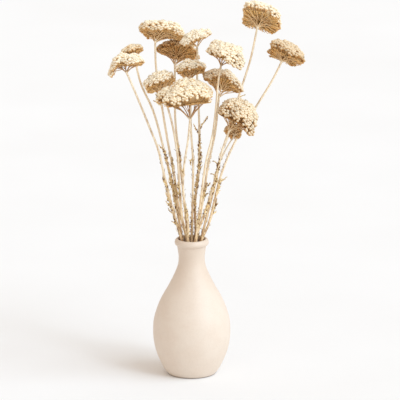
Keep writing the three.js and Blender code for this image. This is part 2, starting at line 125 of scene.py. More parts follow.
# The form of a head: a dome and a cone, whose shares run from the middle at 0 to the rim at 1
RIM_SHARE = 0.93
RIM_DEPTH = 6
CONE_SHARE = 0.4
# How many waves go round the rim, and how high each set is as a share of the radius
RIM_WAVES = ((2, 0.07), (5, 0.05), (7, 0.035))
LIFT_WAVES = 3
DENT_SPACING = 3
DENT_WIDTH = (4, 7)
DENT_DEPTH = (-1, 2.6)
SECTION_STEPS = 24
SECTION_MARGIN = 0.3
NUDGE = 0.2
NUDGE_ANGLE = 0.01
CORE_SIDES = 48
CORE_RINGS = 18
CORE_DEPTH = 0.5
CORE_RIM_DEPTH = 0.45
CORE_REACH = 0.8
CORE_LIFT = 0.7

# Florets, in clusters, with fewer of them near the rim
FLORET_SPACING = 3.2
FLORET_HEIGHT = 5.4
FLORET_SIDES = 7
FLORET_KINDS = 4
FLORET_SIZE = (0.88, 1.12)
# Radius and height of each ring of a floret, from its foot, and the first ring of its crown
FLORET_RINGS = [(0.4, 0), (1.3, 1.1), (2.1, 2.5), (2.35, 3.8), (1.85, 4.75)]
CROWN_RING = 3
SPENT_SHARE = 0.05
SPENT_TONE = 0.75
CLUSTER_SPACING = 11
CLUSTER_RADIUS = CLUSTER_SPACING * 0.6
CLUSTER_REACH = 0.9
CLUSTER_RISE = (-0.7, 1.4)
CLUSTER_DROP = 1.8
CLUSTER_ENDS = (0.82, 0.94)
LOSS_FROM = 0.55
LOSS_FULL = 0.85
RIM_LOSS = 0.25
# Candidates for a place lie this share of the spacing apart, turned by the golden angle
CANDIDATE_STEP = 0.2
GOLDEN_ANGLE = math.pi * (3 - math.sqrt(5))

# Stalks under the florets near the rim, and strands on the cone, of which every so many is bold
STALK_RADII = (0.36, 0.36, 0.42, 0.5)
STALK_REACH = 0.6
STRAND_SPACING = 1.9
STRAND_STATIONS = 7
STRAND_RADII = (0.55, 0.42)
BOLD_EVERY = 5
BOLD_RADII = (0.95, 0.5)

# Stage, in metres. A sun has a strength and, in degrees, a spread, an azimuth from the front to the right,
# and an elevation
FLOOR_SIZE = 14
SUNS = dict(key=(0.36, 14, 47, 35), softbox=(1.48, 60, 62, 38))
SUN_COLOUR = (0.92, 1.1, 1.264)
SUN_DISTANCE = 3
WORLD_COLOUR = (1.0, 0.9, 0.81, 1)
WORLD_STRENGTH = 0.77
CAMERA_DISTANCE = 9
CAMERA_ELEVATION = 15
SENSOR_WIDTH = 36
VIEW_WIDTH = 0.572
VIEW_CENTRE = (0.0119, 0, 0.2566)

# Each yarrow: its slot in the neck (ring, angle), the stem's way above the mouth, the fork where its rays
# begin, its head, and its leaves as (height, turn, rise, curl, length, width). Angles are in degrees.
# A head leans by so much towards its heading. Its rim waves by so many millimetres and has lobes as (angle,
# width, reach as a share, hang). Its grooves are (across, along, width, depth), placed by shares of the half
# width and depth. Its clusters end between two shares of the dome's section, and near the rim it has lost a
# share of its florets.
YARROWS = [
    dict(
        name="yarrow_01",
        slot=[OUTER_RING, 202.5],
        way=[[-26, -6, 239], [-38, -7, 290], [-48, -8, 334], [-60, -8, 366], [-84, -10, 427]],
        fork=[-93, -18, 450],
        head=dict(
            centre=[-93, -12, 465], lean=21, heading=96, width=49, depth=44, dome=11,
            wave=1.5, rays=7, seed=1,
            lobes=[[185, 38, 0.02, 20], [300, 40, 0, 3]],
        ),
        leaves=[
            (206, 230, 86, 2, 34, 5),
            (222, 185, 40, -30, 9, 3),
            (236, 215, 86, 2, 36, 6),
            (238, 185, 34, -50, 11, 3),
            (246, 180, 52, -20, 14, 3),
            (264, 240, 86, 4, 32, 6),
        ],
    ),
    dict(
        name="yarrow_02",
        slot=[OUTER_RING, 157.5],
        way=[[-22, 9, 245], [-31, 12, 290], [-40, 15, 328], [-55, 20, 383], [-72, 23, 421]],
        fork=[-81, 22, 458],
        head=dict(
            centre=[-86, 27, 471], lean=30, heading=132, width=34, depth=28, dome=8,
            wave=1, rays=5, seed=2,
        ),
        leaves=[
            (234, 260, 86, 2, 36, 6),
            (266, 255, 86, 2, 36, 7),
            (298, 265, 86, 4, 32, 6),
            (326, 180, 60, -10, 11, 3),
        ],
    ),
    dict(
        name="yarrow_03",
        slot=[INNER_RING, 162],
        way=[[-19, 5, 244], [-25, 9, 290], [-35, 21, 342], [-44, 33, 396], [-51, 37, 444]],
        fork=[-52, 32, 483],
        head=dict(
            centre=[-41, 42, 496], lean=33, heading=74, width=69, depth=52, dome=14,
            wave=2.5, rays=8, seed=3, ends=(0.88, 0.98),
            lobes=[[328, 38, 0, 8]],
        ),
        leaves=[
            (250, 280, 86, 2, 36, 6),
            (288, 290, 86, 2, 30, 5),
            (388, 180, 50, 30, 14, 4),
        ],
    ),
    dict(
        name="yarrow_04",
        slot=[OUTER_RING, 112.5],
        way=[[-11, 18, 252], [-17, 24, 310], [-23, 32, 360], [-24, 42, 410]],
        fork=[-24, 44, 447],
        head=dict(
            centre=[-19, 61, 462], lean=49, heading=77, width=61, depth=42, dome=12,
            wave=2, rays=8, seed=4,
            lobes=[[115, 32, -0.2, -3]],
        ),
        leaves=[
            (300, 250, 86, 2, 34, 6),
        ],
    ),
    dict(
        name="yarrow_05",
        slot=[OUTER_RING, 67.5],
        way=[[5, 16, 250], [10, 19, 294], [11, 24, 357], [8, 30, 425], [8, 26, 454]],
        fork=[8, 8, 481],
        head=dict(
            centre=[4, 13, 494], lean=31, heading=142, width=49, depth=30, dome=9,
            wave=1.5, rays=6, seed=5, lobes=[[275, 50, 0, 5]],
        ),
        leaves=[
            (228, 270, 86, 2, 34, 6),
            (258, 250, 86, 2, 34, 7),
            (288, 280, 86, 2, 34, 7),
            (314, 260, 86, 2, 34, 6),
            (347, 180, 60, 0, 18, 4),
            (354, 0, 60, 0, 24, 5),
        ],
    ),
    dict(
        name="yarrow_06",
        slot=[OUTER_RING, 292.5],
        way=[[13, -19, 260], [20, -23, 316], [30, -26, 360], [35, -30, 404], [38, -33, 442]],
        fork=[42, -36, 465],
        head=dict(
            centre=[49, -38, 485], lean=15, heading=339, width=57, depth=48, dome=12,
            wave=2, rays=7, seed=6, loss=0.4,
            lobes=[[318, 38, 0.1, 12]],
        ),
        leaves=[
            (214, 300, 86, 2, 30, 5),
            (262, 350, 60, 20, 16, 4),
        ],
    ),
    dict(
        name="yarrow_07",
        slot=[OUTER_RING, 22.5],
        way=[[31, 12, 267], [44, 18, 325], [52, 22, 346], [68, 30, 404], [84, 32, 456]],
        fork=[94, 26, 506],
        head=dict(
            centre=[98, 36, 514], lean=47, heading=81, width=62, depth=56, dome=23,
            wave=2, rays=10, seed=7,
            lobes=[[178, 16, -0.2, 0], [225, 22, 0.22, 0], [95, 28, -0.3, 0], [35, 25, 0.08, 4]],
        ),
        leaves=[
            (266, 240, 86, 2, 34, 6),
            (400, 0, 40, 0, 12, 3),
        ],
    ),
    dict(
        name="yarrow_08",
        slot=[OUTER_RING, 337.5],
        way=[[25, 4, 222], [43, 12, 293], [63, 17, 340], [89, 16, 385], [115, 12, 430]],
        fork=[129, 8, 460],
        head=dict(
            centre=[135, 13, 467], lean=35, heading=59, width=55, depth=48, dome=20,
            wave=2, rays=9, seed=8,
            lobes=[[215, 25, 0.08, -6]],
        ),
        leaves=[
            (226, 300, 86, 2, 32, 5),
            (233, 0, 40, -30, 9, 3),
            (243, 350, 40, -40, 11, 3),
            (254, 320, 86, 2, 34, 6),
            (278, 0, 60, 10, 15, 4),
        ],
    ),
    dict(
        name="yarrow_09",
        slot=[INNER_RING, 234],
        way=[[-13, -3, 228], [-17, 0, 268], [-20, 2, 320], [-27, 3, 364]],
        fork=[-38, -10, 410],
        head=dict(
            centre=[-46, 3, 430], lean=41, heading=126, width=48, depth=40, dome=15,
            wave=1.5, rays=7, seed=9, lobes=[[285, 45, 0, 4]],
        ),
        leaves=[
            (250, 250, 86, 2, 34, 6),
        ],
    ),
    dict(
        name="yarrow_10",
        slot=[INNER_RING, 90],
        way=[[1, 9, 240], [2, 9, 310], [-1, 4, 361]],
        fork=[-2, -3, 436],
        head=dict(
            centre=[-1, 7, 449], lean=37, heading=109, width=43, depth=38, dome=13,
            wave=1.5, rays=8, seed=10, lobes=[[300, 45, 0, 4]],
        ),
        leaves=[
            (207, 200, 84, 0, 24, 5),
            (312, 250, 60, 150, 18, 4),
        ],
    ),
    dict(
        name="yarrow_11",
        slot=[OUTER_RING, 247.5],
        way=[[-5, -17, 221], [-12, -26, 275], [-11, -32, 313], [-5, -39, 355]],
        fork=[-2, -47, 389],
        head=dict(
            centre=[-9, -46, 421], lean=1, heading=90, width=80, depth=64, dome=25,
            wave=3, rays=9, seed=11,
            lobes=[[185, 34, 0.02, 6], [205, 14, -0.06, 0]],
            ends=(0.78, 0.94), loss=0.45,
            grooves=[
                (-0.85, -0.1, 20, 4), (-0.5, -0.75, 6, 4), (-0.5, -0.45, 6, 5), (-0.48, -0.15, 6, 5),
                (-0.48, 0.15, 6, 5), (-0.48, 0.45, 6, 5), (-0.75, -0.3, 7, -3), (-0.1, 0.2, 9, -2),
                (0.45, -0.6, 5, 4),
            ],
        ),
        leaves=[
            (228, 280, 84, 4, 30, 6),
            (302, 240, 74, 30, 12, 4),
        ],
    ),
    dict(
        name="yarrow_12",
        slot=[INNER_RING, 18],
        way=[[16, 6, 255], [24, 8, 308], [33, 8, 351]],
        fork=[39, -13, 413],
        head=dict(
            centre=[44, 0, 433], lean=41, heading=59, width=58, depth=44, dome=16,
            wave=2, rays=8, seed=12,
            lobes=[[215, 32, -0.04, 8]],
        ),
        leaves=[
            (252, 300, 84, 4, 30, 5),
            (268, 10, 66, 0, 15, 4),
        ],
    ),
    dict(
        name="yarrow_13",
        slot=[INNER_RING, 306],
        way=[[16, -11, 232], [29, -15, 274], [40, -20, 321], [47, -23, 347]],
        fork=[54, -29, 368],
        head=dict(
            centre=[66, -27, 387], lean=28, heading=11, width=58.5, depth=54, dome=27,
            wave=2, rays=8, seed=13, ends=(0.9, 1.0), loss=0.5,
            lobes=[[345, 30, 0, 12]],
        ),
        sprig=dict(
            name="yarrow_14",
            way=[[40, -19, 318], [50, -17, 338]],
            fork=[62, -12, 357],
            head=dict(
                centre=[60, -2, 360], lean=71, heading=87, width=25, depth=27, dome=9,
                wave=1, rays=7, seed=14,
            ),
        ),
        leaves=[
            (232, 290, 86, 2, 34, 6),
            (264, 280, 86, 2, 36, 7),
            (296, 185, 40, 60, 9, 3),
            (296, 270, 86, 2, 28, 6),
            (312, 190, 60, 60, 12, 3),
        ],
    ),
]


# Curves and tubes


def unit(vectors):
    return vectors / np.linalg.norm(vectors, axis=-1, keepdims=True)


def ramp(value, start, stop):
    """0 at start, 1 at stop, straight in between and flat outside."""
    return np.clip((value - start) / (stop - start), 0, 1)


def gradient(low, high, share):
    share = np.array(share)[..., None]
    return np.array(low) * (1 - share) + np.array(high) * share


def circle(angle):
    """Points of the unit circle."""
    return np.stack([np.cos(angle), np.sin(angle)], axis=-1)


def crosswise(axes):
    """A direction square to each axis."""
    upright = np.abs(axes[:, 2:3]) > 0.9
    return unit(np.cross(axes, np.where(upright, [[1.0, 0.0, 0.0]], [[0.0, 0.0, 1.0]])))


def hermite(start, stop, leaving, arriving, t):
    """The cubic from start to stop with the given slopes at its ends."""
    cubic = 2 * start - 2 * stop + leaving + arriving
    square = -3 * start + 3 * stop - 2 * leaving - arriving
    return start + leaving * t + square * t ** 2 + cubic * t ** 3


def smooth_way(points, per_span):
    """A centripetal Catmull-Rom curve through the points."""
    points = np.array(points, float)
    ends = np.vstack([2 * points[0] - points[1], points, 2 * points[-1] - points[-2]])
    t = (np.arange(per_span) / per_span)[:, None]
    out = []
    for a, b, c, d in zip(ends, ends[1:], ends[2:], ends[3:]):
        first, middle, last = (math.sqrt(np.linalg.norm(q - p)) for p, q in ((a, b), (b, c), (c, d)))
        leaving = ((b - a) / first - (c - a) / (first + middle) + (c - b) / middle) * middle
        arriving = ((c - b) / middle - (d - b) / (middle + last) + (d - c) / last) * middle
        out.append(hermite(b, c, leaving, arriving, t))
    return np.concatenate([*out, points[-1:]])


def smooth_section(points):
    """A uniform Catmull-Rom curve through the section's points."""
    points = np.array(points, float)
    ends = np.vstack([points[0], points, points[-1]])
    t = (np.arange(SECTION_STEPS) / SECTION_STEPS)[:, None]
    out = []
    for a, b, c, d in zip(ends, ends[1:], ends[2:], ends[3:]):
        out.append(hermite(b, c, (c - a) / 2, (d - b) / 2, t))
    return np.concatenate([*out, points[-1:]])


def bezier(start, control, stop, count):
    """Points along quadratic Bezier curves, one curve for each row of start."""
    start, control, stop = (np.array(place, float)[:, None, :] for place in (start, control, stop))
    t = np.linspace(0, 1, count)[None, :, None]
    return (1 - t) ** 2 * start + 2 * t * (1 - t) * control + t * t * stop


def read(bm):
    """The points and triangles of a bmesh, which is freed."""
    bmesh.ops.triangulate(bm, faces=bm.faces)
    bm.verts.index_update()
    points = np.array([vertex.co[:] for vertex in bm.verts])
    faces = np.array([[vertex.index for vertex in face.verts] for face in bm.faces])
    bm.free()
    return points, faces


def rod(sides, stations):
    """A closed round rod that stands on the origin, with rings 1 apart and a point in the middle of each end.

    Returns each point's station, its angle, 1 on the round or 0 in the middle, and the triangles.
    """
    bm = bmesh.new()
    bmesh.ops.create_cone(
        bm, cap_ends=True, cap_tris=True, segments=sides, radius1=1, radius2=1, depth=stations - 1,
    )
    bmesh.ops.translate(bm, verts=bm.verts, vec=(0, 0, (stations - 1) / 2))
    long = [edge for edge in bm.edges if abs(edge.verts[0].co.z - edge.verts[1].co.z) > 0.5]
    bmesh.ops.subdivide_edges(bm, edges=long, cuts=stations - 2, use_grid_fill=True)
    points, faces = read(bm)
    x, y, z = points.T
    return np.rint(z).astype(int), np.arctan2(y, x), np.rint(np.hypot(x, y)), faces


def tube(paths, radii, sides, ribs=0.0, rib_count=RIB_COUNT):
    """Closed tubes along paths[tube, station, xyz].

    Returns their points, the triangles of one, and each point's share of the length.
    """
    paths = np.array(paths, float)
    stations = paths.shape[1]
    radii = np.broadcast_to(np.array(radii, float), paths.shape[:2])
    ahead = unit(np.gradient(paths, axis=1))
    side = crosswise(ahead[:, 0])
    sides_on = []
    for k in range(stations):
        side = unit(side - ahead[:, k] * np.sum(side * ahead[:, k], axis=1, keepdims=True))
        sides_on.append(side)
    side = np.stack(sides_on, axis=1)
    other = np.cross(ahead, side)
    station, angle, away, faces = rod(sides, stations)
    away = away * (1 + ribs * np.cos(rib_count * angle))
    flat = away[:, None] * circle(angle)
    across = flat[:, :1] * side[:, station] + flat[:, 1:] * other[:, station]
    return paths[:, station] + radii[:, station, None] * across, faces, station / (stations - 1)


class Sheaf:
    """Gathers triangles for one piece, with a tint at each point."""

    def __init__(self):
        self.points, self.faces, self.tints, self.count = [], [], [], 0

    def add(self, points, faces, tints):
        """points[copy, point, xyz] with the same faces in every copy, and tints that spread over them."""
        points = np.array(points, float)
        number, size = points.shape[:2]
        shifts = self.count + np.arange(number) * size
        self.points.append(points.reshape(-1, 3))
        self.faces.append((faces[None] + shifts[:, None, None]).reshape(-1, 3))
        self.tints.append(np.broadcast_to(tints, points.shape).reshape(-1, 3))
        self.count += number * size

    def piece(self, name, look, node):
        """Makes the mesh, kept inside the solids' box, as the piece that stands for the node."""
        points = np.clip(np.concatenate(self.points) * MM, *INNER_BOX)
        faces = np.concatenate(self.faces).astype(np.int32)
        mesh = bpy.data.meshes.new(name)
        mesh.vertices.add(len(points))
        mesh.vertices.foreach_set("co", points.ravel())
        mesh.loops.add(faces.size)
        mesh.loops.foreach_set("vertex_index", faces.ravel())
        mesh.polygons.add(len(faces))
        mesh.polygons.foreach_set("loop_start", np.arange(0, faces.size, 3, dtype=np.int32))
        mesh.polygons.foreach_set("use_smooth", np.ones(len(faces), bool))
        mesh.update(calc_edges=True)
        tint = mesh.color_attributes.new("tint", "FLOAT_COLOR", "POINT")
        colours = np.concatenate([np.concatenate(self.tints), np.ones((len(points), 1))], axis=1)
        tint.data.foreach_set("color", colours.ravel())
        mesh.materials.append(look)
        thing = bpy.data.objects.new(name, mesh)
        bpy.context.scene.collection.objects.link(thing)
        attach(thing, "root")
        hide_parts(node)


# Colours


def rgb(red, green, blue):
    """A colour given as a screen shows it, 0 to 255, as the renderer's linear one."""
    linear = [((c / 255 + 0.055) / 1.055) ** 2.4 if c > 10 else c / 3294.6 for c in (red, green, blue)]
    return (*linear, 1.0)


def shade(red, green, blue):
    """The same colour without its alpha, for the tints at a piece's points."""
    return np.array(rgb(red, green, blue)[:3])


def factor_towards(kept, share):
    """The factor of a colour that has gone a share of the way to what it keeps in the end."""
    return 1 + (kept - 1) * share


CLAY = rgb(228, 213, 197)
CLAY_CLOUD = rgb(225, 208, 191)
CLAY_MOTTLE = rgb(235, 220, 204)
CLAY_PIT = rgb(205, 180, 150)
# Painted shade inside and on the neck, and a painted contact shadow under the foot
INSIDE_NECK_SHADE = rgb(92, 62, 38)
NECK_SHADE_COLOUR = rgb(212, 190, 168)
FOOT_SHADOW_COLOUR = rgb(128, 98, 70)
STEM_STREAK = rgb(186, 138, 82)
STEM_STRIP = rgb(160, 108, 58)
STEM_BLOT = rgb(112, 72, 36)
FLORET_GRAIN = rgb(215, 175, 120)
PALE_FLOOR = rgb(246, 247, 248)
DIM_FLOOR = rgb(239, 239, 239)

CREAM = shade(252, 238, 208)
BRIGHT = shade(255, 248, 230)
CUP = shade(238, 206, 152)
DEEP = shade(220, 154, 82)
HUSK = shade(232, 186, 118)
PEDICEL = shade(238, 196, 130)
STRAW = shade(253, 240, 214)
RAY = shade(232, 200, 152)
BROWN_RAY = shade(192, 148, 98)
LEAF = shade(254, 232, 180)
DARK = shade(118, 62, 12)

# The side of the stems that faces the sun, and what the stems keep of their colour where they have browned
# and under the painted shade on the other side
SUNLIT_SIDE = np.array([0.8, -0.5, 0.33])
BROWNED_AND_SHADED = np.array([0.95, 0.84, 0.68])
# What a head keeps of its colour at full tan and painted shade, and how far each head has gone there
TANNED_AND_SHADED = np.array([0.56, 0.41, 0.27])
# Partly real tan, partly painted shade where neighbours keep the sun off a head
TAN_AND_SHADE = dict(
    yarrow_02=0.15, yarrow_04=0.4, yarrow_06=0.08, yarrow_08=0.4,
    yarrow_12=0.22, yarrow_13=0.2, yarrow_14=0.33,
)
# How much further painted shade darkens each head's core, strands and stalks underneath
UNDER_SHADE = dict(yarrow_11=0.4, yarrow_13=0.9)
# How much painted light lightens each head's crowns where its top lies in shade, and how much darker and
# browner the rays under each head are
CROWN_LIGHT = dict(
    yarrow_01=0.5, yarrow_03=0.4, yarrow_05=0.8, yarrow_07=0.6, yarrow_09=1.0, yarrow_10=1.0, yarrow_12=0.7,
)
RAY_DARKENING = dict(yarrow_01=0.7, yarrow_04=0.7, yarrow_06=0.85, yarrow_11=1)


# Materials


class Value:
    """A socket of a node tree, with arithmetic."""

    def __init__(self, look, socket):
        self.look, self.socket = look, socket

    def _join(self, operation, first, second):
        return self.look.node("Math", {"operation": operation}, {0: first, 1: second}).out("Value")

    def __add__(self, other):
        return self._join("ADD", self, other)

    def __sub__(self, other):
        return self._join("SUBTRACT", self, other)

    def __mul__(self, other):
        return self._join("MULTIPLY", self, other)

    def __rsub__(self, other):
        return self._join("SUBTRACT", other, self)

    __radd__ = __add__
    __rmul__ = __mul__

    def between(self, low, high):
        """0 at low, 1 at high, and smooth in between."""
        limits = {"Value": self, "From Min": low, "From Max": high}
        return self.look.node("MapRange", {"interpolation_type": "SMOOTHSTEP"}, limits).out("Result")


class Placed:
    """One node of a look."""

    def __init__(self, look, node):
        self.look, self.node = look, node

    def out(self, name):
        return Value(self.look, self.node.outputs[name])


class Look:
    """A material built round one Principled shader."""

    def __init__(self, name, roughness, **constants):
        self.material = bpy.data.materials.new(name)
        self.material.use_nodes = True
        self.tree = self.material.node_tree
        self.shader = self.tree.nodes["Principled BSDF"]
        self.shader.inputs["Roughness"].default_value = roughness
        for socket, value in constants.items():
            self.shader.inputs[socket.replace("_", " ")].default_value = value

    def node(self, kind, settings=None, inputs=None):
        made = self.tree.nodes.new("ShaderNode" + kind)
        for key, value in (settings or {}).items():
            setattr(made, key, value)
        for key, value in (inputs or {}).items():
            self.feed(made.inputs[key], value)
        return Placed(self, made)

    def feed(self, socket, value):
        if isinstance(value, Value):
            self.tree.links.new(value.socket, socket)
        else:
            socket.default_value = value

    def place(self, stretch=(1, 1, 1)):
        coordinates = self.node("TexCoord").out("Object")
        return self.node("Mapping", None, {"Vector": coordinates, "Scale": stretch}).out("Vector")

    def radius(self):
        """The distance from the vertical axis."""
        flat = self.node("VectorMath", {"operation": "MULTIPLY"}, {0: self.place(), 1: (1, 1, 0)})
        return self.node("VectorMath", {"operation": "LENGTH"}, {0: flat.out("Vector")}).out("Value")

    def height(self):
        return self.node("SeparateXYZ", None, {"Vector": self.place()}).out("Z")

    def tint(self):
        return self.node("Attribute", {"attribute_name": "tint"}).out("Color")

    def noise(self, scale, detail=3.0, stretch=(1, 1, 1)):
        inputs = {"Vector": self.place(stretch), "Scale": scale, "Detail": detail}
        return self.node("TexNoise", None, inputs).out("Fac")

    def mix(self, factor, first, second, blend="MIX"):
        """Mixes colours. The node's sockets go by number, because each name stands for several of them."""
        made = self.node("Mix", {"data_type": "RGBA", "blend_type": blend}, {0: factor, 6: first, 7: second})
        return made.out(2)

    def finish(self, colour, roughness=None, height=None, distance=0.0002, strength=0.5):
        self.feed(self.shader.inputs["Base Color"], colour)
        if roughness is not None:
            self.feed(self.shader.inputs["Roughness"], roughness)
        if height is not None:
            inputs = {"Height": height, "Distance": distance, "Strength": strength}
            self.feed(self.shader.inputs["Normal"], self.node("Bump", None, inputs).out("Normal"))
        return self.material


# In metres: the heights over which the lip flares, the painted shade on the neck changes and the painted
# contact shadow at the foot ends, and the radius over which the painted shade inside the neck ends
FLARE_SPAN = (0.183, 0.187)
FLARE = 0.0024
INSIDE_SHADE_RADIUS = (0.0168, 0.018)
NECK_SHADE_SPAN = (0.1, 0.17)
FOOT_SHADOW_SPAN = (0.0006, 0.0021)


def ceramic_look():
    look = Look("matte_ceramic", 0.8, Specular_IOR_Level=0.85)
    clouds = look.noise(38, 2).between(0.3, 0.7)
    mottle = look.noise(260, 4).between(0.35, 0.65)
    pits = look.noise(1500, 2).between(0.62, 0.74)
    flare = look.height().between(*FLARE_SPAN) * FLARE
    # Painted shade inside the neck and on it, and a painted contact shadow at the foot
    inside = 1 - (look.radius() - flare).between(*INSIDE_SHADE_RADIUS)
    neck = look.height().between(*NECK_SHADE_SPAN)
    foot = 1 - look.height().between(*FOOT_SHADOW_SPAN)
    body = look.mix(clouds, CLAY, CLAY_CLOUD)
    body = look.mix(mottle * 0.25, body, CLAY_MOTTLE)
    body = look.mix(pits * 0.5, body, CLAY_PIT)
    body = look.mix(inside * 0.9, body, INSIDE_NECK_SHADE)
    body = look.mix(neck * 0.4, body, NECK_SHADE_COLOUR)
    body = look.mix(foot * 0.8, body, FOOT_SHADOW_COLOUR)
    relief = look.noise(420, 4) * 0.6 + look.noise(60, 2) * 0.8 - pits * 0.6
    return look.finish(body, mottle * 0.12 + 0.48, relief, 0.00035, 0.35)


def stalk_look():
    """Straw with streaks and blots, and with dark strips that die away above the mouth."""
    look = Look("dried_stalk", 0.8, Specular_IOR_Level=0.3)
    streaks = look.noise(900, 3, (1, 1, 0.03)).between(0.42, 0.68)
    strips = look.noise(420, 3, (1, 1, 0.05)).between(0.5, 0.62)
    blots = look.noise(90, 3, (1, 1, 0.5)).between(0.55, 0.75)
    low = 1 - look.height().between(0.21, 0.34)
    colour = look.mix(streaks * 0.5, look.tint(), STEM_STREAK, "MULTIPLY")
    colour = look.mix(strips * low * 0.55, colour, STEM_STRIP, "MULTIPLY")
    colour = look.mix(blots * 0.4, colour, STEM_BLOT)
    return look.finish(colour, None, look.noise(1600, 3, (1, 1, 0.06)), 0.0002, 0.4)


def floret_look():
    look = Look("dried_floret", 0.85, Specular_IOR_Level=0.2)
    grain = look.noise(1400, 3).between(0.35, 0.7)
    colour = look.mix(grain * 0.2, look.tint(), FLORET_GRAIN, "MULTIPLY")
    return look.finish(colour, None, look.noise(2200, 2), 0.0003, 0.4)


# The vase


def vase_section():
    """The outline from the middle of the base, over the lip, to the middle of the floor inside."""
    outside = smooth_way([
        (BASE_RADIUS + 1.6, 0.9),
        (38.6, 6.2),
        (44, 16),
        (51, 33),
        (54.8, 50),
        (BELLY_RADIUS - 0.05, BELLY_HEIGHT),
        (54.6, 79),
        (50.4, 95),
        (43.4, 112),
        (32.8, 131),
        (22.9, 152),
        (NECK_RADIUS + 0.7, 163),
        (NECK_RADIUS, NECK_HEIGHT + 2),
        (19.8, 182),
        (20.9, 188.9),
    ], 5)
    lip = smooth_way([
        (21.2, 189.9),
        (LIP_RADIUS - 0.9, 191.5),
        (LIP_RADIUS, 194.8),
        (LIP_RADIUS - 1.3, 198.2),
        (20.9, VASE_HEIGHT - 0.05),
        (18.6, VASE_HEIGHT - 2),
        (17, 188),
        (NECK_RADIUS - WALL, NECK_HEIGHT),
        (16, 160),
        (40.6, 108),
        (BELLY_RADIUS - WALL, BELLY_HEIGHT + 4),
        (47, 35),
        (30, FLOOR),
    ], 4)
    foot = [(BASE_RADIUS, 0), (BASE_RADIUS + 0.9, 0.25)]
    return np.array([(0, 0), *foot, *outside, *lip, (0, FLOOR)])


def build_vase():
    bm = bmesh.new()
    points = [bm.verts.new((radius, 0, height)) for radius, height in vase_section()]
    edges = [bm.edges.new(pair) for pair in zip(points, points[1:])]
    bmesh.ops.spin(
        bm, geom=points + edges, cent=(0, 0, 0), axis=(0, 0, 1),
        angle=2 * math.pi, steps=VASE_SIDES, use_merge=True,
    )
    bmesh.ops.remove_doubles(bm, verts=bm.verts, dist=0.001)
    bmesh.ops.recalc_face_normals(bm, faces=bm.faces)
    points, faces = read(bm)
    sheaf = Sheaf()
    sheaf.add(points[None], faces, np.ones(3))
    sheaf.piece("vase_ceramic", ceramic_look(), "vase")


# The form of a head


def nearness(angle, middle, width):
    """1 at the middle of a lobe, and falling off over the lobe's width."""
    away = angle - math.radians(middle)
    return np.exp(-(np.arctan2(np.sin(away), np.cos(away)) / math.radians(width)) ** 2)


def seeded(seed, count):
    """The same draws between 0 and 1 that shape the solid heads."""
    state, out = seed * 7919 + 17, []
    for _ in range(count):
        state = (state * 1664525 + 1013904223) % 4294967296
        out.append(state / 4294967296)
    return out


